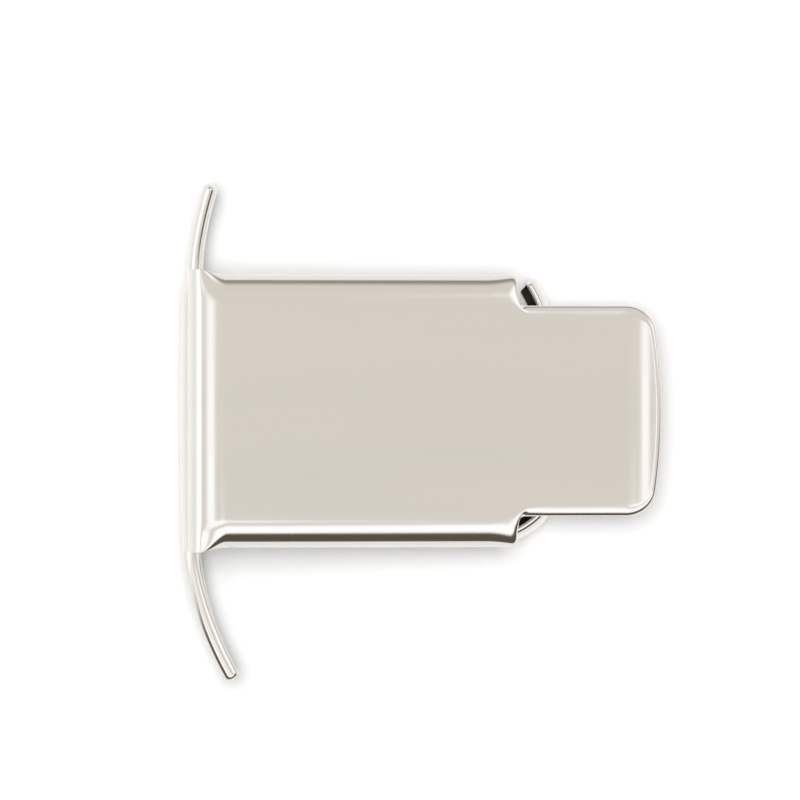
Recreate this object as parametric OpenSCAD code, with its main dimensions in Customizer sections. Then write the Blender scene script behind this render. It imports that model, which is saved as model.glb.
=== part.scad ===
// Money clip: a spring leaf folded over a back leg, brazed on a cradle that
// grips cards along their two long edges.
// Millimetres. +X runs from the fold to the tongue, +Z points out of the
// front face, and Z = 0 is the plane that the cradle's lower edges lie on.

/* [Front leaf] */
// Width of the wide face over its turned edges
face_w = 44; // [40:0.5:48]
// Fold to the step where the leaf narrows
step_x = 53.2; // [50:0.2:56]
// Width of the tongue
tongue_w = 34; // [30:0.5:36]
// Fold to the end of the tongue, along the leaf
tongue_x = 76.3; // [70:0.1:84]
// Corner radius at the end of the tongue
tongue_corner_r = 4.8; // [2:0.1:8]
// Radius of the slightly bowed tongue end
tongue_end_r = 90; // [60:5:200]
// Length of the upturned lip at the end of the tongue
lead_in = 6; // [4:0.2:8]
// Bend radius of the upturned lip
lead_in_r = 25; // [20:1:40]
// Width of the turned edge along each side of the face
rim_w = 4.2; // [2:0.1:6]
// How far the turned edge drops
rim_drop = 1.1; // [0.4:0.1:1.2]
// Radius of the face's outer corners at the step
corner_r = 1; // [0.5:0.1:2]
// Radius of the inner corners at the step
notch_r = 1.2; // [0.6:0.1:2]
// How much wider each side of the leaf gets at the fold
shoulder = 0.8; // [0.4:0.1:1]
// Length over which it gets wider
shoulder_len = 3.5; // [2:0.1:6]
// Slope of the leaf down to the cradle
leaf_slope = 4; // [3:0.1:4.1]

/* [Sheet] */
// Thickness of the leaf, fold and back leg
leaf_t = 1; // [0.8:0.1:1.2]
// Clear height inside the fold
fold_gap = 3.4; // [3.2:0.1:4]
// Thickness of the cradle strip
strip_t = 0.8; // [0.6:0.1:1]
// Outer radius of the cradle's rolled channel
channel_r = 2.7; // [2.4:0.1:3]

/* [Back leg and plate] */
// Length of the leg under the leaf
leg_x = 42; // [30:1:44]
// Width of the plate and leg behind the fold
neck_w = 30.8; // [26:0.2:31]
// Width of the plate and leg next to the fold
wing_w = 43; // [38:0.5:43]
// Length of that wider part
wing_x = 12; // [8:1:16]
// Radius where the plate narrows
wing_r = 5; // [2:0.5:6]
// Corner radius at the free end of the leg
leg_corner_r = 3; // [1:0.5:6]

/* [Card bar] */
// How far the bar bows out past the fold
bar_bow = 1.5; // [0.9:0.1:2]
// Radius of the bar's bow
bar_r = 800; // [400:10:1000]
// How far the upper arm is set in from the bar
upper_set = 0.9; // [0:0.1:1]
// How far the lower arm is set in from the bar
lower_set = 0.1; // [0:0.1:0.5]
// Radius of the upper arm's spring root
upper_root_r = 27.6; // [24:0.2:40]
// Radius of the upper arm
upper_r = 65; // [55:1:75]
// Angle where the upper arm's spring root ends
upper_root_a = 7.5; // [7:0.1:10]
// Angle at the upper arm's tip
upper_tip_a = 17.9; // [14:0.1:20]
// Radius of the lower arm's spring root
lower_root_r = 20.2; // [18:0.2:40]
// Angle where the lower arm's spring root ends
lower_root_a = 12; // [9:0.5:14]
// Radius of the lower arm
lower_r = 60.6; // [55:0.2:70]
// Angle at the lower arm's tip
lower_tip_a = 30; // [24:0.1:32]
// Height of the arms
arm_h = 4.6; // [4:0.1:4.8]
// How far the arms' lower edge curls in
arm_curl = 2.5; // [2:0.1:3]

/* [Card lip] */
// Fold to the outer face of the lip
lip_x = 61.6; // [61:0.1:62.4]
// Radius of the lip
lip_r = 48; // [44:0.5:52]
// Angle where the ears leave the plate
lip_a = 20; // [18:0.5:20]
// Radius of the upper ear
upper_ear_r = 26.7; // [24:0.1:30]
// Angle at the upper ear's tip
upper_ear_a = 33; // [28:0.5:36]
// Radius of the elbow that leads into the lower ear
lower_elbow_r = 4; // [3.9:0.1:5]
// Angle where the elbow ends
lower_elbow_a = 45; // [40:1:50]
// Radius of the lower ear
lower_ear_r = 14.3; // [13:0.1:15]
// Angle at the lower ear's tip
lower_ear_a = 80; // [70:1:82]
// Height of the ears
ear_h = 4.3; // [4:0.1:4.4]
// How far the ears' lower edge curls in
ear_curl = 3.7; // [3:0.1:4]
// Radius at the corners of every free strip end
tip_r = 1.2; // [0.6:0.1:1.5]

/* [Hidden] */
$fn = 96;
EPS = 1;
steel = [0.80, 0.77, 0.73];
channel_h = 2 * channel_r;
fold_ri = fold_gap / 2;
fold_ro = fold_ri + leaf_t;
fold_x = fold_ro;
fold_z = channel_h + fold_ro;
fold_half = face_w / 2 + shoulder;
shoulder_r = (shoulder_len * shoulder_len + shoulder * shoulder) / (2 * shoulder);
rim_r = (rim_w * rim_w + rim_drop * rim_drop) / (2 * rim_drop);
step_len = step_x - fold_x;
tongue_len = tongue_x - fold_x;
lead_in_z = lead_in_r - sqrt(lead_in_r * lead_in_r - lead_in * lead_in);

// A strip path point is [x, y, lean]: it runs towards +Y and leans towards +X.
function arc_end(p, r, a) =
    [p[0] + r * (cos(p[2]) - cos(a)), p[1] + r * (sin(a) - sin(p[2])), a];
function set_in(p, d) = [p[0] + d * cos(p[2]), p[1] - d * sin(p[2]), p[2]];
function mirrored(p) = [p[0], -p[1], -p[2]];
function arc_centre(p, r) = [p[0] + r * cos(p[2]), p[1] - r * sin(p[2]), 0];

bar_mid = [-bar_bow, 0, 0];
seam_a = asin(fold_half / bar_r);
bar_end = arc_end(bar_mid, bar_r, seam_a);
upper_start = set_in(bar_end, upper_set);
lower_start = set_in(bar_end, lower_set);
upper_root_end = arc_end(upper_start, upper_root_r, upper_root_a);
upper_tip = arc_end(upper_root_end, upper_r, upper_tip_a);
lower_root_end = arc_end(lower_start, lower_root_r, lower_root_a);
lower_tip = arc_end(lower_root_end, lower_r, lower_tip_a);
lip_mid = [-lip_x, 0, 0];
lip_end = arc_end(lip_mid, lip_r, lip_a);
elbow_end = arc_end(lip_end, lower_elbow_r, lower_elbow_a);

right_end = fold_x + tongue_len * cos(leaf_slope)
    + (fold_ro + lead_in_z) * sin(leaf_slope);
centre = [(right_end - bar_bow) / 2, (upper_tip[1] - lower_tip[1]) / 2, 0];

// ---- strip sections and sweeps ----

// C-shaped section of the rolled strip: outermost point at x = r, standing on
// y = 0, cut off at a height and at curl in from the outside.
module strip_section(r, height, curl) {
    bore_r = channel_r - strip_t;
    translate([r - channel_r, channel_r])
        intersection() {
            difference() {
                union() {
                    circle(r = channel_r);
                    translate([-curl, -channel_r])
                        square([curl, 2 * channel_r]);
                }
                circle(r = bore_r);
                translate([-curl - EPS, -bore_r])
                    square([curl + EPS, 2 * bore_r]);
            }
            translate([channel_r - curl, -channel_r])
                square([curl, height]);
        }
}

// Strip along an arc of the path from point p to lean angle a.
module strip_arc(p, r, a, height, curl) {
    translate(arc_centre(p, r))
        rotate([0, 0, 180 - a])
            rotate_extrude(angle = a - p[2])
                strip_section(r, height, curl);
}

// Takes the two corners off the free end of a strip at lean angle a.
module tip_corners(p, r, a, height, curl) {
    translate(arc_centre(p, r))
        rotate([0, 0, 180 - a])
            for (side = [0, 1])
                translate([r - curl - EPS, 0, side * height])
                    mirror([0, 0, side])
                        rotate([90, 0, 90])
                            linear_extrude(height = curl + 2 * EPS)
                                difference() {
                                    translate([-EPS, -EPS])
                                        square(tip_r + EPS);
                                    translate([tip_r, tip_r])
                                        circle(r = tip_r);
                                }
}

module strip_tip(p, r, a, height, curl) {
    difference() {
        strip_arc(p, r, a, height, curl);
        tip_corners(p, r, a, height, curl);
    }
}

// ---- leaf ----

// Moves a solid from the leaf's own plane, fold axis at 0, to the part.
module on_leaf() {
    translate([fold_x, 0, fold_z])
        rotate([0, leaf_slope, 0])
            children();
}

module rounded_end(x0, x1, w, r) {
    translate([x0, -w / 2])
        square([x1 - x0 - r, w]);
    translate([x0, r - w / 2])
        square([x1 - x0, w - 2 * r]);
    for (side = [-1, 1])
        translate([x1 - r, side * (w / 2 - r)])
            circle(r = r);
}

module face_outline() {
    rounded_end(0, step_len, face_w, corner_r);
    for (side = [0, 1])
        mirror([0, side])
            difference() {
                translate([0, face_w / 2 - EPS])
                    square([shoulder_len, shoulder + EPS]);
                translate([shoulder_len, face_w / 2 + shoulder_r])
                    circle(r = shoulder_r);
            }
}

// Cross-section of the wide face: flat in the middle, both edges turned down.
module face_section() {
    flat_half = face_w / 2 - rim_w;
    translate([-flat_half, fold_ri])
        square([2 * flat_half, leaf_t]);
    for (side = [0, 1])
        mirror([side, 0])
            intersection() {
                translate([flat_half, fold_ro - rim_r])
                    difference() {
                        circle(r = rim_r);
                        circle(r = rim_r - leaf_t);
                    }
                translate([flat_half, 0])
                    square([rim_w + shoulder, fold_ro]);
            }
}

module front_face() {
    color(steel)
        on_leaf()
            intersection() {
                rotate([90, 0, 90])
                    linear_extrude(height = step_len)
                        face_section();
                linear_extrude(height = fold_ro + EPS)
                    face_outline();
            }
}

module tongue_outline() {
    intersection() {
        rounded_end(step_len, tongue_len, tongue_w, tongue_corner_r);
        translate([tongue_len - tongue_end_r, 0])
            circle(r = tongue_end_r, $fn = 360);
    }
    for (side = [0, 1])
        mirror([0, side])
            difference() {
                translate([step_len, tongue_w / 2 - EPS])
                    square([notch_r, notch_r + EPS]);
                translate([step_len + notch_r, tongue_w / 2 + notch_r])
                    circle(r = notch_r);
            }
}

// Side section of the tongue: flat, then an upturned lip.
module tongue_section() {
    lip_at = tongue_len - lead_in;
    translate([step_len, fold_ri])
        square([lip_at - step_len, leaf_t]);
    intersection() {
        translate([lip_at, fold_ro + lead_in_r])
            difference() {
                circle(r = lead_in_r + leaf_t);
                circle(r = lead_in_r);
            }
        translate([lip_at, fold_ri])
            square([lead_in, leaf_t + 2 * lead_in_z]);
    }
}

module tongue() {
    color(steel)
        on_leaf()
            intersection() {
                translate([0, face_w / 2, 0])
                    rotate([90, 0, 0])
                        linear_extrude(height = face_w)
                            tongue_section();
                linear_extrude(height = fold_ro + 2 * lead_in_z + EPS)
                    tongue_outline();
            }
}

// Half-round spring fold; its upper end meets the sloping leaf.
module clip_fold() {
    reach = 2 * fold_ro;
    color(steel)
        translate([fold_x, fold_half, fold_z])
            rotate([90, 0, 0])
                linear_extrude(height = 2 * fold_half)
                    difference() {
                        circle(r = fold_ro);
                        circle(r = fold_ri);
                        translate([0, -reach])
                            square([reach, reach]);
                        rotate(-leaf_slope)
                            translate([0, -EPS])
                                square([reach, reach]);
                    }
}

// ---- back leg and cradle ----

// Wide wings at the fold, then the narrower neck.
module neck_outline(x0, x1) {
    neck_half = neck_w / 2;
    translate([x0, -wing_w / 2])
        square([wing_x - x0, wing_w]);
    translate([x0, -neck_half])
        square([x1 - x0, neck_w]);
    for (side = [0, 1])
        mirror([0, side])
            difference() {
                translate([wing_x, neck_half])
                    square(wing_r);
                translate([wing_x + wing_r, neck_half + wing_r])
                    circle(r = wing_r);
            }
}

module back_leg() {
    color(steel)
        translate([0, 0, channel_h])
            linear_extrude(height = leaf_t)
                difference() {
                    neck_outline(fold_x, leg_x);
                    for (side = [0, 1])
                        mirror([0, side])
                            translate([leg_x - leg_corner_r, neck_w / 2 - leg_corner_r])
                                difference() {
                                    square(leg_corner_r + EPS);
                                    circle(r = leg_corner_r);
                                }
                }
}

// Right edge of the plate: it follows the inside of the lip.
module lip_side_outline() {
    translate([lip_x - lip_r, 0])
        circle(r = lip_r - ear_curl, $fn = 360);
    translate([0, -fold_half])
        square([lip_x - lip_r, 2 * fold_half]);
}

module cradle_plate() {
    color(steel)
        translate([0, 0, channel_h - strip_t])
            linear_extrude(height = strip_t)
                intersection() {
                    neck_outline(0, lip_x);
                    lip_side_outline();
                    translate([bar_r - bar_bow, 0])
                        circle(r = bar_r - channel_r, $fn = 720);
                }
}

module card_bar() {
    color(steel)
        strip_arc(mirrored(bar_end), bar_r, seam_a, channel_h, channel_r);
}

module upper_root() {
    color(steel)
        strip_arc(upper_start, upper_root_r, upper_root_a, arm_h, arm_curl);
}

module upper_arm() {
    color(steel)
        strip_tip(upper_root_end, upper_r, upper_tip_a, arm_h, arm_curl);
}

module lower_root() {
    color(steel)
        mirror([0, 1, 0])
            strip_arc(lower_start, lower_root_r, lower_root_a, arm_h, arm_curl);
}

module lower_arm() {
    color(steel)
        mirror([0, 1, 0])
            strip_tip(lower_root_end, lower_r, lower_tip_a, arm_h, arm_curl);
}

module card_lip() {
    color(steel)
        mirror([1, 0, 0])
            strip_arc(mirrored(lip_end), lip_r, lip_a, channel_h, ear_curl);
}

module upper_ear() {
    color(steel)
        mirror([1, 0, 0])
            strip_tip(lip_end, upper_ear_r, upper_ear_a, ear_h, ear_curl);
}

module lower_elbow() {
    color(steel)
        mirror([1, 0, 0])
            mirror([0, 1, 0])
                strip_arc(lip_end, lower_elbow_r, lower_elbow_a, ear_h, ear_curl);
}

module lower_ear() {
    color(steel)
        mirror([1, 0, 0])
            mirror([0, 1, 0])
                strip_tip(elbow_end, lower_ear_r, lower_ear_a, ear_h, ear_curl);
}

translate(-centre) {
    front_face();
    tongue();
    clip_fold();
    back_leg();
    cradle_plate();
    card_bar();
    upper_root();
    upper_arm();
    lower_root();
    lower_arm();
    card_lip();
    upper_ear();
    lower_elbow();
    lower_ear();
}
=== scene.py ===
"""Money clip with a card cradle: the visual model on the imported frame."""
import math

import bmesh
import bpy
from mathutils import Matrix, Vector


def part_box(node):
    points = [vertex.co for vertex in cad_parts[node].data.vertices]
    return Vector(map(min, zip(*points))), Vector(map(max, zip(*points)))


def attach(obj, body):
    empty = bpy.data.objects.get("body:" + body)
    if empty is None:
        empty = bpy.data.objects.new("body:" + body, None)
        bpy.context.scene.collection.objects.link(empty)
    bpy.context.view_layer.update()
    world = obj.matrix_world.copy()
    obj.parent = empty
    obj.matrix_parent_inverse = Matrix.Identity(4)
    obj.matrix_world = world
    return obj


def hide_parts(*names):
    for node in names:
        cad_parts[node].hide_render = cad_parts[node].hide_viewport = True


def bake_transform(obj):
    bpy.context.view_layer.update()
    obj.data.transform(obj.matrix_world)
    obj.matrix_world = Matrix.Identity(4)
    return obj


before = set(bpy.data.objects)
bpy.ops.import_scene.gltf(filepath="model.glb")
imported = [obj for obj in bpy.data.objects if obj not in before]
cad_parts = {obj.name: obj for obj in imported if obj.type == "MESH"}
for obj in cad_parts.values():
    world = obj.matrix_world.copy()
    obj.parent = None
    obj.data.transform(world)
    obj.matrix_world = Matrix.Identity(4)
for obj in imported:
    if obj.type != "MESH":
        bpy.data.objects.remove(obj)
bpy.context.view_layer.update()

# The part's driving sizes, in mm unless a name says otherwise.
MM = 0.001
SHEET = 1.0
STRIP = 0.8
CHANNEL_R = 2.7
FOLD_RO = 2.7
SLOPE = math.radians(4)
FACE_HALF = 22.0
TONGUE_HALF = 17.0
SHOULDER = 0.8
SHOULDER_LEN = 3.5
CORNER_R = 1.0
NOTCH_R = 1.2
END_CORNER_R = 4.8
END_BOW_R = 90.0
LEAD_IN = 6.0
LEAD_IN_R = 25.0

# Where the drawing's own origin (fold line, clip axis, rest plane) lies in the row frame, in mm.
fold_lo, fold_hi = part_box("clip_fold")
leg_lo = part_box("back_leg")[0]
ORIGIN = Vector((fold_lo.x / MM, (fold_lo.y + fold_hi.y) / 2 / MM, 0))
FOLD_Z = leg_lo.z / MM + FOLD_RO
FOLD_HALF = (fold_hi.y - fold_lo.y) / 2 / MM
# Distances along the leaf from the fold's axis to the step and to the tongue's end.
STEP_LEN = 50.5
TONGUE_LEN = 73.6


def smooth(t):
    t = min(max(t, 0.0), 1.0)
    return t * t * (3 - 2 * t)


def mix(a, b, t):
    return a + (b - a) * t


def arc(cx, cy, r, a0, a1, n):
    """n + 1 points on a circle, angles in degrees."""
    out = []
    for i in range(n + 1):
        a = math.radians(mix(a0, a1, i / n))
        out.append((cx + r * math.cos(a), cy + r * math.sin(a)))
    return out


def build(name, verts, faces, materials, smooth_angle=None, slots=()):
    """Mesh object from points in mm in the drawing's frame, welded and closed."""
    mesh = bpy.data.meshes.new(name)
    mesh.from_pydata([tuple((Vector(v) + ORIGIN) * MM) for v in verts], [], faces)
    for face, slot in zip(mesh.polygons, slots):
        face.material_index = slot
    bm = bmesh.new()
    bm.from_mesh(mesh)
    bmesh.ops.remove_doubles(bm, verts=bm.verts, dist=1e-6)
    bmesh.ops.dissolve_degenerate(bm, edges=bm.edges, dist=1e-7)
    bmesh.ops.recalc_face_normals(bm, faces=bm.faces)
    for f in bm.faces:
        f.smooth = True
    if smooth_angle is not None:
        for e in bm.edges:
            if len(e.link_faces) == 2 and e.calc_face_angle(0) > math.radians(smooth_angle):
                e.smooth = False
    bm.to_mesh(mesh)
    bm.free()
    for material in materials:
        mesh.materials.append(material)
    obj = bpy.data.objects.new(name, mesh)
    bpy.context.scene.collection.objects.link(obj)
    return obj


def tube(rows, closed_start=True, closed_end=True):
    """Vertices and faces of a loft through closed loops of equal length."""
    n = len(rows[0])
    verts = [p for row in rows for p in row]
    faces = []
    for j in range(len(rows) - 1):
        for k in range(n):
            a, b = j * n + k, j * n + (k + 1) % n
            faces.append((a, b, b + n, a + n))
    if closed_start:
        faces.append(tuple(range(n))[::-1])
    if closed_end:
        faces.append(tuple(range((len(rows) - 1) * n, len(rows) * n)))
    return verts, faces


# ---- materials ----


def link_chain(nt, *pairs):
    for out, into in pairs:
        nt.links.new(out, into)


def noise(nt, coord, scale, detail, stretch=None):
    """Noise texture on object coordinates, optionally drawn out along an axis."""
    tex = nt.nodes.new("ShaderNodeTexNoise")
    tex.inputs["Scale"].default_value = scale
    tex.inputs["Detail"].default_value = detail
    if stretch:
        mapping = nt.nodes.new("ShaderNodeMapping")
        mapping.inputs["Scale"].default_value = stretch
        nt.links.new(coord, mapping.inputs[0])
        coord = mapping.outputs[0]
    nt.links.new(coord, tex.inputs["Vector"])
    return tex.outputs["Fac"]


def bump(nt, height, distance, strength, below=None):
    node = nt.nodes.new("ShaderNodeBump")
    node.inputs["Strength"].default_value = strength
    node.inputs["Distance"].default_value = distance
    nt.links.new(height, node.inputs["Height"])
    if below:
        nt.links.new(below, node.inputs["Normal"])
    return node.outputs[0]


def ramp(nt, fac, stops):
    node = nt.nodes.new("ShaderNodeValToRGB")
    elements = node.color_ramp.elements
    elements[0].position, elements[0].color = stops[0][0], (*stops[0][1], 1)
    elements[1].position, elements[1].color = stops[-1][0], (*stops[-1][1], 1)
    for position, colour in stops[1:-1]:
        elements.new(position).color = (*colour, 1)
    nt.links.new(fac, node.inputs[0])
    return node.outputs[0]


def spread(nt, fac, low, high, start=0.3, end=0.75):
    node = nt.nodes.new("ShaderNodeMapRange")
    for key, value in (("From Min", start), ("From Max", end), ("To Min", low), ("To Max", high)):
        node.inputs[key].default_value = value
    nt.links.new(fac, node.inputs["Value"])
    return node.outputs[0]


def metal(name):
    m = bpy.data.materials.new(name)
    m.use_nodes = True
    nt = m.node_tree
    nt.nodes.clear()
    out = nt.nodes.new("ShaderNodeOutputMaterial")
    bsdf = nt.nodes.new("ShaderNodeBsdfPrincipled")
    nt.links.new(bsdf.outputs[0], out.inputs[0])
    bsdf.inputs["Metallic"].default_value = 1.0
    return m, nt, bsdf, nt.nodes.new("ShaderNodeTexCoord").outputs["Object"]


def polished(name, wear, rub):
    """Mirror-polished warm steel: rub marks along one way, hand haze, faint waviness."""
    m, nt, bsdf, coord = metal(name)
    haze = noise(nt, coord, 60, 5, rub)
    lines = noise(nt, coord, 1500, 4, tuple(v * 0.6 for v in rub))
    wave = noise(nt, coord, 38, 1)
    tint = ramp(nt, haze, (
        (0.3, (0.835, 0.815, 0.765)),
        (0.5, (0.855, 0.825, 0.775)),
        (0.7, (0.865, 0.828, 0.785)),
    ))
    nt.links.new(tint, bsdf.inputs["Base Color"])
    nt.links.new(spread(nt, haze, 0.09, 0.09 + wear), bsdf.inputs["Roughness"])
    soft = bump(nt, wave, 0.00004, 0.2)
    nt.links.new(bump(nt, lines, 0.000004, 0.1, soft), bsdf.inputs["Normal"])
    return m


def painted_shade_metal(name):
    """Painted shade: near-black mottled metal for the inner faces of the rolled strip, standing in for
    the shade deep in the channel.
    """
    m, nt, bsdf, coord = metal(name)
    # Noise that mottles the painted shade's colour, roughness and bump.
    scale = noise(nt, coord, 320, 6)
    tint = ramp(nt, scale, (
        (0.35, (0.012, 0.010, 0.008)),
        (0.6, (0.05, 0.042, 0.034)),
        (0.8, (0.12, 0.10, 0.085)),
    ))
    nt.links.new(tint, bsdf.inputs["Base Color"])
    nt.links.new(spread(nt, scale, 0.35, 0.6), bsdf.inputs["Roughness"])
    nt.links.new(bump(nt, scale, 0.00003, 0.35), bsdf.inputs["Normal"])
    return m


steel_leaf = polished("steel_leaf", 0.05, (0.12, 1.0, 1.0))
steel_strip = polished("steel_strip", 0.07, (1.0, 0.15, 1.0))
steel_back = polished("steel_back", 0.12, (0.1, 1.0, 1.0))
# Painted shade: near-black metal for the inner faces of the rolled strips.
painted_shade_inside = painted_shade_metal("painted_shade_inside")


# ---- leaf with its fold ----

# Side view of the sheet's outer surface: back half of the fold, a tighter front half,
# a gentle roll-over, the straight leaf at its slope, and the upturned end of the tongue.
ROLL_IN = math.radians(-5.4)
ROLL_R = 25.0
FRONT_R = 2.495
roll_at = (FRONT_R * (1 + math.sin(ROLL_IN)), FOLD_Z + FRONT_R * math.cos(ROLL_IN))
flat_at = (
    roll_at[0] + ROLL_R * (math.sin(SLOPE) - math.sin(ROLL_IN)),
    roll_at[1] + ROLL_R * (math.cos(SLOPE) - math.cos(ROLL_IN)),
)
# Distances along the sheet, measured like the leaf's own length from the fold's axis.
FLAT_S = (flat_at[0] - FOLD_RO) * math.cos(SLOPE) - (flat_at[1] - FOLD_Z) * math.sin(SLOPE)
ROLL_S = FLAT_S - ROLL_R * (SLOPE - ROLL_IN)
FRONT_S = ROLL_S - FRONT_R * (ROLL_IN + math.pi / 2)
BACK_S = FRONT_S - FOLD_RO * math.pi / 2
LIP_S = TONGUE_LEN - LEAD_IN


def turn_from(p, r, t0, t1):
    """Point reached on an arc of the outer surface while its tilt goes from t0 to t1."""
    return (p[0] + r * (math.sin(t1) - math.sin(t0)), p[1] + r * (math.cos(t1) - math.cos(t0)))


def place(s, y, z):
    """Point at a distance s along the sheet, y across it and z above its outer surface."""
    if s < FRONT_S:
        tilt = -math.pi / 2 - (FRONT_S - s) / FOLD_RO
        p = turn_from((0, FOLD_Z), FOLD_RO, -math.pi / 2, tilt)
    elif s < ROLL_S:
        tilt = ROLL_IN - (ROLL_S - s) / FRONT_R
        p = turn_from(roll_at, FRONT_R, ROLL_IN, tilt)
    elif s < FLAT_S:
        tilt = SLOPE - (FLAT_S - s) / ROLL_R
        p = turn_from(flat_at, ROLL_R, SLOPE, tilt)
    else:
        tilt = SLOPE
        run = min(s, LIP_S) - FLAT_S
        p = (flat_at[0] + run * math.cos(SLOPE), flat_at[1] - run * math.sin(SLOPE))
        if s > LIP_S:
            tilt = SLOPE - (s - LIP_S) / LEAD_IN_R
            p = turn_from(p, -LEAD_IN_R, SLOPE, tilt)
    return (p[0] + z * math.sin(tilt), y, p[1] + z * math.cos(tilt))


# Width and drop of the turned edge along the face, the tongue's sides and the tongue's end.
FACE_RIM_W, FACE_RIM_H = 4.6, 1.6
TONGUE_RIM_W, TONGUE_RIM_H = 2.0, 0.36
END_RIM_W, END_RIM_H = 0.9, 0.30
# The face's flare towards the fold is widest here, and the step's rounding starts here.
FLARE_START = -0.66
STEP_START = STEP_LEN - 5


def half_width(s):
    """Half the width of the sheet, flared out to the fold."""
    t = min(max((SHOULDER_LEN - s) / (SHOULDER_LEN - FLARE_START), 0.0), 1.0)
    return FACE_HALF + SHOULDER * t * t


def leaf_outline():
    """Rows of (outer s, outer y, inner s, inner y, rim depth, edge scale) from fold to tip."""
    rows = []
    x1 = STEP_START
    stations = [BACK_S + (FRONT_S - BACK_S) * i / 14 for i in range(14)]
    stations += [FRONT_S + (ROLL_S - FRONT_S) * i / 26 for i in range(26)]
    stations += [ROLL_S + (FLAT_S - ROLL_S) * i / 30 for i in range(30)]
    stations += [FLAT_S + (x1 - FLAT_S) * (i / 36) ** 1.3 for i in range(36)]
    inner_y = FACE_HALF - FACE_RIM_W
    for s in stations:
        inner = smooth((s + 1.8) / 5.6)
        edge = 0.14 + 0.86 * smooth((s + 1.0) / 5.0)
        rows.append((s, half_width(s), s, inner_y, FACE_RIM_H * inner, edge))
    # round the step
    edge = [(x1 + i * 0.5, FACE_HALF) for i in range(8)]
    edge += arc(STEP_LEN - CORNER_R, FACE_HALF - CORNER_R, CORNER_R, 90, 0, 8)
    low = TONGUE_HALF + NOTCH_R
    edge += [(STEP_LEN, mix(FACE_HALF - CORNER_R, low, i / 5)) for i in range(1, 5)]
    edge += arc(STEP_LEN + NOTCH_R, low, NOTCH_R, 180, 270, 8)
    edge += [(STEP_LEN + NOTCH_R + i * 0.5, TONGUE_HALF) for i in range(1, 8)]
    x2 = edge[-1][0]
    run = [0.0]
    for a, b in zip(edge, edge[1:]):
        run.append(run[-1] + math.dist(a, b))
    for (x, y), s in zip(edge, run):
        t = s / run[-1]
        u = smooth(t)
        rows.append((
            x, y, mix(x1, x2, t),
            mix(inner_y, TONGUE_HALF - TONGUE_RIM_W, u),
            mix(FACE_RIM_H, TONGUE_RIM_H, smooth(t * 1.25)), 1.0,
        ))
    # tongue side
    bow = (TONGUE_HALF - END_CORNER_R) ** 2 / (2 * END_BOW_R)
    xc = TONGUE_LEN - bow - END_CORNER_R
    yc = TONGUE_HALF - END_CORNER_R
    for i in range(1, 12):
        x = mix(x2, xc, i / 12)
        rows.append((x, TONGUE_HALF, x, TONGUE_HALF - TONGUE_RIM_W, TONGUE_RIM_H, 1.0))
    # corner and bowed end
    tip = math.degrees(math.asin((yc + 0.7) / END_BOW_R))
    for i, (x, y) in enumerate(arc(xc, yc, END_CORNER_R, 90, tip, 24)):
        w = mix(TONGUE_RIM_W, END_RIM_W, smooth(i / 24))
        ang = math.radians(mix(90, tip, i / 24))
        rows.append((
            x, y, x - w * math.cos(ang), y - w * math.sin(ang),
            mix(TONGUE_RIM_H, END_RIM_H, smooth(i / 24)), 1.0,
        ))
    x_last, y_end, xi_last, yi_last = rows[-1][:4]
    for i in range(1, 19):
        y = y_end * (1 - i / 18)
        rise = (y_end**2 - y * y) / (2 * END_BOW_R)
        rows.append((x_last + rise, y, xi_last + rise, yi_last * (1 - i / 18), END_RIM_H, 1.0))
    return rows


# Share of the rim's width that the inner part of its elliptical section takes.
KNEE = 0.42
ELLIPSE_KNEE = 1 - math.sqrt(1 - KNEE**2)


def rim_profile(w, depth, edge, full):
    """(distance out, height) from the flat field's edge over the top, round the edge and back under.

    Up to the knee it follows the full-width ellipse; past a plain slope, the rest of the ellipse
    is scaled by edge, so a flared corner keeps its inner band and draws in its outer ones."""
    top = []
    knee_x = full * KNEE
    out_w = (full - knee_x) * edge
    knee_z = depth * ELLIPSE_KNEE
    slope = depth / full * KNEE / math.sqrt(1 - KNEE**2)
    gap = max(w - knee_x - out_w, 0.0)
    for i in range(1, 9):
        a = KNEE * i / 8
        top.append((knee_x * i / 8, -depth * (1 - math.sqrt(1 - a * a))))
    for i in range(1, 5):
        top.append((knee_x + gap * i / 4, -knee_z - slope * gap * i / 4))
    base_x, base_z = knee_x + gap, knee_z + slope * gap
    turn0 = math.asin(KNEE)
    for i in range(1, 15):
        a = math.sin(turn0 + (math.pi / 2 - turn0) * i / 14)
        drop = depth * edge * (1 - math.sqrt(max(0.0, 1 - a * a)) - ELLIPSE_KNEE)
        top.append((base_x + out_w * (a - KNEE) / (1 - KNEE), -base_z - drop))
    low = -top[-1][1]
    r = SHEET * 0.4
    turn = []
    for q in (18, 36, 54, 72, 90):
        c, s = math.cos(math.radians(q)), math.sin(math.radians(q))
        turn.append((w - r + r * c, -low - 0.12 - r * s))
    under = low + 0.12 + r - SHEET
    w_in = max(w - r, 0.02)
    back = [(w_in * q, -SHEET - under * q * q) for q in (0.85, 0.7, 0.55, 0.4, 0.2, 0.0)]
    return top + turn + back


COLS = 14


def leaf_row(xo, yo, xi, yi, depth, edge):
    """One closed loop of the leaf: across the top, round one edge, back underneath, round the other."""
    width = max(math.dist((xo, yo), (xi, yi)), 1e-6)
    ux, uy = (xo - xi) / width, (yo - yi) / width
    full = FACE_RIM_W if xo < STEP_START else width
    profile = rim_profile(width, max(depth, 0.02), edge, full)

    def half(sign):
        pts = [place(xi, sign * yi * i / COLS, 0.0) for i in range(COLS + 1)]
        pts += [place(xi + ux * a, sign * (yi + uy * a), z) for a, z in profile]
        pts += [place(xi, sign * yi * i / COLS, -SHEET) for i in range(COLS - 1, -1, -1)]
        return pts

    return half(1) + half(-1)[-2:0:-1]


def make_leaf():
    rows = [leaf_row(*row) for row in leaf_outline()]
    verts, faces = tube(rows, closed_start=True, closed_end=False)
    obj = build("leaf_sheet", verts, faces, [steel_leaf])
    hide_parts("front_face", "tongue", "clip_fold")
    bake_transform(obj)
    return obj


# ---- strips ----


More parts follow.
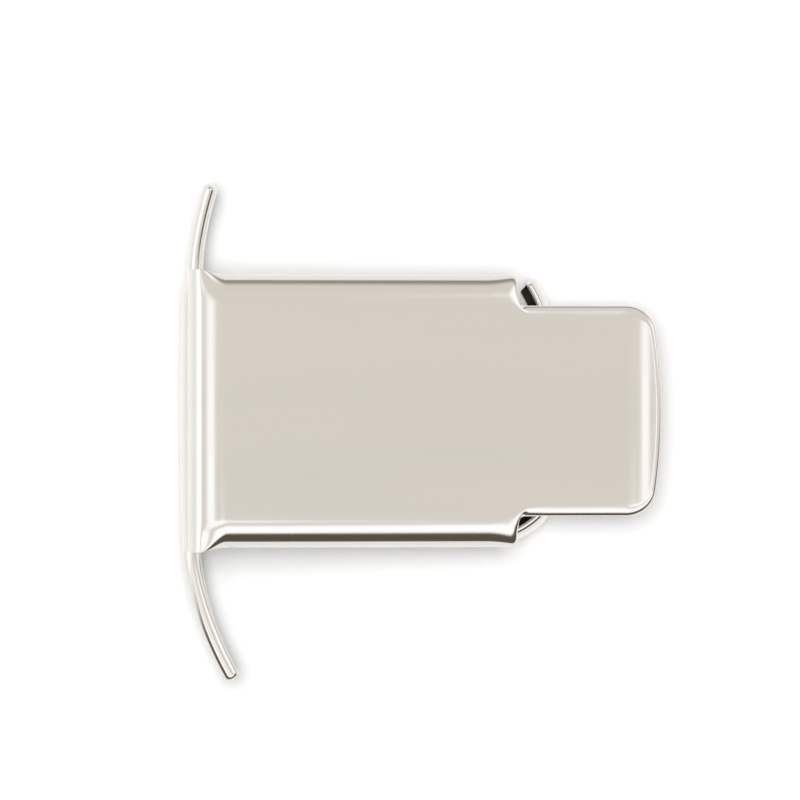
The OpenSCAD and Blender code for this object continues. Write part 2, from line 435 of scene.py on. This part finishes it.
def arc_end(p, r, a):
    """Next path point; p is (x, y, lean in degrees), the path runs to +Y and leans to +X."""
    c0, s0, c1, s1 = (f(math.radians(d)) for d in (p[2], a) for f in (math.cos, math.sin))
    return (p[0] + r * (c0 - c1), p[1] + r * (s1 - s0), a)


def set_in(p, d):
    """Point moved in square to the path, for a strip set in from its neighbour."""
    a = math.radians(p[2])
    return (p[0] + d * math.cos(a), p[1] - d * math.sin(a), p[2])


def path(p, arcs, step=0.35):
    """Points (x, y, lean, run) along a chain of arcs given as (radius, end lean)."""
    out = [(p[0], p[1], p[2], 0.0)]
    for r, a in arcs:
        length = r * math.radians(abs(a - p[2]))
        n = max(2, round(length / step))
        run = out[-1][3]
        for i in range(1, n + 1):
            q = arc_end(p, r, mix(p[2], a, i / n))
            out.append((q[0], q[1], q[2], run + length * i / n))
        p = arc_end(p, r, a)
    return out


def at(path_pts, run):
    """Interpolated (x, y, lean) at a distance along the path."""
    for a, b in zip(path_pts, path_pts[1:]):
        if run <= b[3]:
            f = (run - a[3]) / max(b[3] - a[3], 1e-9)
            return tuple(mix(a[i], b[i], f) for i in range(3))
    return path_pts[-1][:3]


def quarter(n, start, end):
    return [math.radians(mix(start, end, i / n)) for i in range(n + 1)]


def rail(outer, inner, top, curl, t=STRIP):
    """Closed loop (inward, z, is_inside) of a rolled rail: crowned top, outer wall, bottom flange.

    outer and inner are the half-axes (across, down) of the crown on each side of its crest."""
    (oa, ob), (ia, ib) = outer, inner
    lip = 0.35
    loop = [(oa + ia * math.sin(q), top - ib * (1 - math.cos(q)), 0) for q in quarter(12, 90, 0)]
    loop += [(oa - oa * math.sin(q), top - ob * (1 - math.cos(q)), 0) for q in quarter(16, 0, 90)[1:]]
    foot = min(1.4, top - ob - 0.2)
    loop += [(foot * (1 - math.cos(q)), foot * (1 - math.sin(q)), 0) for q in quarter(8, 0, 90)]
    end = max(curl - 0.3, foot + 0.1)
    loop += [(end + 0.3 * math.sin(q), 0.3 * (1 - math.cos(q)), 1) for q in quarter(4, 0, 90)]
    loop += [(end + 0.3 * math.sin(q), t - 0.3 * (1 - math.cos(q)), 1) for q in quarter(4, 90, 0)]
    ri = max(foot - t, 0.1)
    loop += [(foot - ri * math.sin(q), foot - ri * math.cos(q), 1) for q in quarter(8, 0, 90)]
    crown = top - t
    web = max(top - ob, foot + 0.1) - 0.1
    loop += [(mix(foot - ri, oa, q), mix(web, crown, q), 1) for q in (0.0, 0.5, 1.0)]
    reach = oa + ia - 0.12
    loop += [(mix(oa, reach, q), mix(crown, top - ib - lip - 0.3, q * q), 1) for q in (0.4, 0.75, 1.0)]
    loop += [(oa + ia - 0.03, top - ib - lip * 0.8, 1), (oa + ia, top - ib - lip * 0.5, 0)]
    return loop


# The free ends close in a superellipse, a little squarer than a half round.
NOSE_POWER = 2.6


def sweep(path_pts, shape, nose):
    """Rows of a rail along a path; shape(run) gives its loop, the free end closes in a round nose."""
    length = path_pts[-1][3]
    stations = [(q[3], 0.0) for q in path_pts if q[3] < length - nose]
    if nose:
        stations += [(length - nose, math.sin(math.radians(q))) for q in range(0, 91, 6)]
    else:
        stations.append((length, 0.0))
    rows = []
    for run, tau in stations:
        q = max(0.0, 1 - tau**NOSE_POWER) ** (1 / NOSE_POWER)
        row = []
        for inward, z, inside, centre, crest in shape(run):
            along = run + (nose - (STRIP * 0.75 if inside else 0.0)) * tau
            x, y, a = at(path_pts, along)
            ca, sa = math.cos(math.radians(a)), math.sin(math.radians(a))
            d = centre + (inward - centre) * q
            h = crest + (z - crest) * q if z > crest else z
            row.append((x + ca * d, y - sa * d, h))
        rows.append(row)
    return rows


def flip(rows, x=False, y=False):
    return [[(-p[0] if x else p[0], -p[1] if y else p[1], p[2]) for p in row] for row in rows]


def strip_piece(name, rows, loop, node_names, close_end=False):
    """A rail as one piece, its inner faces in the near-black metal that paints the channel's shade."""
    verts, faces = tube(rows, closed_end=close_end)
    n = len(loop)
    inside = {k for k in range(n) if loop[k][2] and loop[(k + 1) % n][2]}
    # Faces between two inner points take the painted-shade material in slot 1.
    slots = [1 if i % n in inside else 0 for i in range((len(rows) - 1) * n)]
    obj = build(name, verts, faces, [steel_strip, painted_shade_inside], 60, slots)
    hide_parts(*node_names)
    return obj


BAR_BOW, BAR_R = 1.5, 800.0
UPPER_SET, LOWER_SET = 0.9, 0.1
ARM_H, EAR_H = 4.6, 4.3
ARM_NOSE, EAR_NOSE = 1.15, 1.2
# Each arc of an arm or ear is (radius, lean at its end in degrees), root first.
UPPER_ARM_ARCS = [(27.6, 7.5), (65.0, 17.9)]
LOWER_ARM_ARCS = [(20.2, 12.0), (60.6, 30.0)]
UPPER_EAR_ARCS = [(26.7, 33.0)]
LOWER_EAR_ARCS = [(4.0, 45.0), (14.3, 80.0)]
seam_a = math.degrees(math.asin(FOLD_HALF / BAR_R))
bar_end = arc_end((-BAR_BOW, 0, 0), BAR_R, seam_a)
upper_path = path(set_in(bar_end, UPPER_SET), UPPER_ARM_ARCS)
lower_path = path(set_in(bar_end, LOWER_SET), LOWER_ARM_ARCS)


def shaped(outer, inner, top, curl):
    """Loop with the nose's centre line and the height that its crown rises from."""
    centre = (outer[0] + inner[0]) / 2
    crest = top - max(outer[1], inner[1])
    return [(d, z, k, centre, crest) for d, z, k in rail(outer, inner, top, curl)]


def upper_shape(run):
    a = mix(1.3, 1.22, smooth(run / 5))
    return shaped((a, a), (a, a), ARM_H, 2.2)


def lower_shape(run):
    t = smooth(run / 14)
    a = mix(1.5, 1.3, t)
    b = mix(1.25, 0.52, t)
    return shaped((a, b), (a, b), ARM_H, 2.4)


def ear_shape(run):
    return shaped((1.6, 2.0), (0.35, 0.4), EAR_H, 3.2)


for name, route, shape, node_names, body, pivot in (
    ("upper_arm_strip", upper_path, upper_shape, ("upper_root", "upper_arm"), "arm_upper", 1),
    ("lower_arm_strip", lower_path, lower_shape, ("lower_root", "lower_arm"), "arm_lower", -1),
):
    rows = flip(sweep(route, shape, ARM_NOSE), y=pivot < 0)
    obj = strip_piece(name, rows, shape(0), node_names, True)
    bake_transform(obj)


def channel(curl, top=2 * CHANNEL_R, t=STRIP):
    """Loop (inward, z, is_inside) of the round-backed channel, open inward."""
    r = CHANNEL_R
    outer = [(r - r * math.sin(q), r + r * math.cos(q), 0) for q in quarter(16, 0, 90)]
    outer += [(r - r * math.cos(q), r - r * math.sin(q), 0) for q in quarter(16, 0, 90)[1:]]
    ri = r - t
    flange = [(curl, 0.15, 0), (curl, t - 0.15, 1), (curl - 0.15, t, 1)] if curl > r else []
    inner = [(r - ri * math.sin(q), r - ri * math.cos(q), 1) for q in quarter(16, 0, 90)]
    inner += [(r - ri * math.cos(q), r + ri * math.sin(q), 1) for q in quarter(16, 0, 90)[1:]]
    if curl > r:
        top_flange = [
            (curl - 0.15, top - t, 1),
            (curl, top - t + 0.15, 1),
            (curl, top - 0.15, 0),
            (curl - 0.15, top, 0),
        ]
        return outer + [(curl - 0.15, 0, 0)] + flange + inner + top_flange
    return outer + inner


def plain(loop):
    return lambda run: [(d, z, k, 0.0, 99.0) for d, z, k in loop]


bar_loop = channel(CHANNEL_R)
bar_route = path((bar_end[0], -bar_end[1], -seam_a), [(BAR_R, seam_a)], 1.0)
# The bar's outer wall draws in towards the upper arm over the last stretch.
TAPER_FROM, TAPER_LEN, TAPER_DEPTH = 18.3, 4.5, 1.2


def tapered(x, y, z):
    """Point of the bar, drawn in where it nears the upper arm."""
    share = smooth((y - TAPER_FROM) / TAPER_LEN)
    return (x + UPPER_SET * share * (1 - min(max(x, 0.0) / TAPER_DEPTH, 1.0)), y, z)


bar_rows = [
    [tapered(*point) for point in row]
    for row in sweep(bar_route, plain(bar_loop), 0.0)
]
bar = strip_piece("bar_strip", bar_rows, bar_loop, ("card_bar",), True)
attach(bar, "cradle")

LIP_X, LIP_R, LIP_A, LIP_CURL = 61.6, 48.0, 20.0, 3.7
lip_end = arc_end((-LIP_X, 0, 0), LIP_R, LIP_A)
lip_loop = channel(LIP_CURL)
lip_route = path((lip_end[0], -lip_end[1], -LIP_A), [(LIP_R, LIP_A)], 0.8)
lip_rows = flip(sweep(lip_route, plain(lip_loop), 0.0), x=True)
lip = strip_piece("lip_strip", lip_rows, lip_loop, ("card_lip",), True)
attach(lip, "cradle")

for name, arcs, node_names, low in (
    ("upper_ear_strip", UPPER_EAR_ARCS, ("upper_ear",), False),
    ("lower_ear_strip", LOWER_EAR_ARCS, ("lower_elbow", "lower_ear"), True),
):
    rows = flip(sweep(path(lip_end, arcs, 0.25), ear_shape, EAR_NOSE), x=True, y=low)
    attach(strip_piece(name, rows, ear_shape(0), node_names, True), "cradle")


# ---- plate and leg ----


def plate(name, outline, z0, z1, node_name, material, bevel):
    """Flat blanked sheet from a closed outline, edges broken by a small radius."""
    mesh = bpy.data.meshes.new(name)
    bm = bmesh.new()
    bottom = [bm.verts.new((Vector((x, y, z0)) + ORIGIN) * MM) for x, y in outline]
    face = bm.faces.new(bottom)
    made = bmesh.ops.extrude_face_region(bm, geom=[face])
    moved = [g for g in made["geom"] if isinstance(g, bmesh.types.BMVert)]
    bmesh.ops.translate(bm, verts=moved, vec=(0, 0, (z1 - z0) * MM))
    bmesh.ops.recalc_face_normals(bm, faces=bm.faces)
    rims = [e for e in bm.edges if abs(e.verts[0].co.z - e.verts[1].co.z) < 1e-7]
    bmesh.ops.bevel(
        bm, geom=rims, offset=bevel * MM, segments=3, profile=0.5,
        affect="EDGES", clamp_overlap=True,
    )
    for f in bm.faces:
        f.smooth = len(f.verts) == 4
    for e in bm.edges:
        if len(e.link_faces) == 2 and e.calc_face_angle(0) > math.radians(35):
            e.smooth = False
    bm.to_mesh(mesh)
    bm.free()
    mesh.materials.append(material)
    obj = bpy.data.objects.new(name, mesh)
    bpy.context.scene.collection.objects.link(obj)
    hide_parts(node_name)
    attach(obj, "cradle")
    return obj


NECK_HALF, WING_HALF, WING_X, WING_R, LEG_X, LEG_R = 15.4, 21.5, 12.0, 5.0, 42.0, 3.0
LEG_Z = CHANNEL_R * 2


def side(x0, end):
    """Upper half of the outline, from the fold end to the far end."""
    pts = [(x0, WING_HALF), (WING_X, WING_HALF), (WING_X, NECK_HALF + WING_R)]
    pts += arc(WING_X + WING_R, NECK_HALF + WING_R, WING_R, 180, 270, 14)
    return pts + end


leg_end = arc(LEG_X - LEG_R, NECK_HALF - LEG_R, LEG_R, 90, 0, 12)
up = side(FOLD_RO, leg_end)
both = up + [(x, -y) for x, y in up[::-1]]
plate("leg_sheet", both, LEG_Z, LEG_Z + SHEET, "back_leg", steel_back, 0.25)

# The plate's free end follows the inside of the lip, its other end the inside of the bar.
cx = LIP_X - LIP_R
r_in = LIP_R - LIP_CURL
a_neck = math.degrees(math.asin(NECK_HALF / r_in))
lip_inner = arc(cx, 0, r_in, a_neck, 0, 14)[:-1] + [(cx + r_in, 0)]
bar_in = BAR_R - CHANNEL_R
bar_side = []
for i in range(13):
    y = WING_HALF * i / 12
    bar_side.append((BAR_R - BAR_BOW - math.sqrt(bar_in**2 - y * y), y))
up = bar_side + side(bar_side[-1][0], lip_inner)[1:]
both = up + [(x, -y) for x, y in up[-2::-1] if y > 0]
plate("plate_sheet", both, LEG_Z - STRIP, LEG_Z, "cradle_plate", steel_back, 0.12)

make_leaf()

# ---- floor, light, camera ----

scene = bpy.context.scene
# Half the floor's width and how far it lies under the part, in metres.
FLOOR_HALF = 3.0
FLOOR_DROP = 0.00002
floor_mesh = bpy.data.meshes.new("floor")
corners = [(FLOOR_HALF * x, FLOOR_HALF * y, 0) for x, y in ((-1, -1), (1, -1), (1, 1), (-1, 1))]
floor_mesh.from_pydata(corners, [], [(0, 1, 2, 3)])
floor = bpy.data.objects.new("floor", floor_mesh)
floor.location.z = -FLOOR_DROP
scene.collection.objects.link(floor)
paper = bpy.data.materials.new("paper")
paper.use_nodes = True
paper_bsdf = paper.node_tree.nodes["Principled BSDF"]
paper_bsdf.inputs["Base Color"].default_value = (0.93, 0.93, 0.93, 1)
paper_bsdf.inputs["Roughness"].default_value = 0.9
paper_bsdf.inputs["Specular IOR Level"].default_value = 0.0
paper_bsdf.inputs["Emission Color"].default_value = (1, 1, 1, 1)
paper_bsdf.inputs["Emission Strength"].default_value = 0.1
floor_mesh.materials.append(paper)

# The studio is a dome of soft boxes and dark gaps, seen only in the polished metal.
# theta is the angle from straight up, psi the compass angle from -Y towards +X, in degrees.
world = bpy.data.worlds.new("studio")
scene.world = world
world.use_nodes = True
dome = world.node_tree
dome.nodes.clear()
world.cycles_visibility.diffuse = False


def math_node(kind, *values):
    node = dome.nodes.new("ShaderNodeMath")
    node.operation = kind
    for i, v in enumerate(values):
        if isinstance(v, (int, float)):
            node.inputs[i].default_value = v
        else:
            dome.links.new(v, node.inputs[i])
    return node.outputs[0]


def ease(value, start, end):
    """0 at start, 1 at end, smooth between."""
    node = dome.nodes.new("ShaderNodeMapRange")
    node.interpolation_type = "SMOOTHSTEP"
    falling = start > end
    node.inputs["From Min"].default_value = min(start, end)
    node.inputs["From Max"].default_value = max(start, end)
    node.inputs["To Min"].default_value = 1.0 if falling else 0.0
    node.inputs["To Max"].default_value = 0.0 if falling else 1.0
    dome.links.new(value, node.inputs["Value"])
    return node.outputs[0]


def window(value, a0, a1, b0, b1):
    """Rises over a0 to a1 and falls over b0 to b1."""
    return math_node("MULTIPLY", ease(value, a0, a1), ease(value, b1, b0))


# Places of the colour sockets on a mix node that is set to mix colours.
MIX_A, MIX_B, MIX_RESULT = 6, 7, 2


def layer(below, colour, *masks):
    """Colour laid over what is below it, where every mask lets it show."""
    mask = masks[0]
    for extra in masks[1:]:
        mask = math_node("MULTIPLY", mask, extra)
    node = dome.nodes.new("ShaderNodeMix")
    node.data_type = "RGBA"
    dome.links.new(mask, node.inputs["Factor"])
    if isinstance(below, tuple):
        node.inputs[MIX_A].default_value = (*below, 1)
    else:
        dome.links.new(below, node.inputs[MIX_A])
    node.inputs[MIX_B].default_value = (*colour, 1)
    return node.outputs[MIX_RESULT]


sep = dome.nodes.new("ShaderNodeSeparateXYZ")
dome.links.new(dome.nodes.new("ShaderNodeTexCoord").outputs["Generated"], sep.inputs[0])
dx, dy, dz = sep.outputs
theta = math_node("MULTIPLY", math_node("ARCCOSINE", dz), 180 / math.pi)
psi = math_node("MULTIPLY", math_node("ARCTAN2", dx, math_node("MULTIPLY", dy, -1.0)), 180 / math.pi)

BEIGE = (0.752, 0.728, 0.692)
WHITE = (1.2, 1.22, 1.26)
PALE = (0.92, 0.94, 0.95)
BROWN = (0.105, 0.083, 0.066)
TAUPE = (0.33, 0.29, 0.245)

front_left = window(psi, -165, -108, 55, 70)
front = window(psi, -76, -66, 60, 75)
left = window(psi, -150, -130, -80, -72)
right = window(psi, 92, 104, 132, 150)
back = math_node("SUBTRACT", 1.0, window(psi, -150, -112, 100, 135))
dark_arc = window(psi, -75, -67, 80, 94)

sky = layer(BEIGE, WHITE, window(theta, 2.2, 4.0, 7.6, 9.8), front_left)
sky = layer(sky, WHITE, window(theta, 11.8, 14.0, 23.0, 25.5), front)
sky = layer(sky, WHITE, window(theta, 11.8, 16.0, 66.0, 78.0), left)
sky = layer(sky, WHITE, window(theta, 13.0, 17.0, 30.0, 36.0), right)
sky = layer(sky, PALE, ease(theta, 49.0, 53.0))
sky = layer(sky, BROWN, window(theta, 24.0, 27.0, 49.0, 52.5), dark_arc)
sky = layer(sky, TAUPE, window(theta, 30.0, 42.0, 49.0, 54.0), back)
sky = layer(sky, (0.6, 0.57, 0.52), window(theta, 36.0, 42.0, 49.0, 54.0), right)
background = dome.nodes.new("ShaderNodeBackground")
dome_out = dome.nodes.new("ShaderNodeOutputWorld")
link_chain(dome, (sky, background.inputs[0]), (background.outputs[0], dome_out.inputs[0]))


def soft_sun(name, tilt_x, tilt_y, spread_deg, strength, colour):
    """Large soft source for the floor, its centre offset from straight up by two slopes."""
    data = bpy.data.lights.new(name, "SUN")
    data.angle = math.radians(spread_deg)
    data.energy = strength
    data.color = colour
    obj = bpy.data.objects.new(name, data)
    obj.rotation_mode = "QUATERNION"
    obj.rotation_quaternion = Vector((tilt_x, tilt_y, 1)).to_track_quat("Z", "Y")
    obj.visible_glossy = False
    scene.collection.objects.link(obj)


soft_sun("key_sun", -0.02, 0.12, 58, 2.6, (1.0, 0.997, 0.99))
soft_sun("fill_sun", -0.02, 0.03, 150, 0.55, (0.985, 0.995, 1.0))

cam_data = bpy.data.cameras.new("camera")
cam = bpy.data.objects.new("camera", cam_data)
scene.collection.objects.link(cam)
scene.camera = cam
# View width and centre in mm, in the drawing's own frame, and the camera's height in metres.
VIEW_W = 129.0
VIEW_CENTRE = (34.19, 1.77)
CAM_H = 0.95
FACE_H = 0.008
SENSOR = 36
cam_data.sensor_width = SENSOR
cam_data.lens = SENSOR * (CAM_H - FACE_H) / (VIEW_W * MM)
cam_data.clip_end = 10
cam.location = ((ORIGIN.x + VIEW_CENTRE[0]) * MM, (ORIGIN.y + VIEW_CENTRE[1]) * MM, CAM_H)
cam.rotation_euler = (0, 0, 0)

scene.view_settings.view_transform = "Standard"
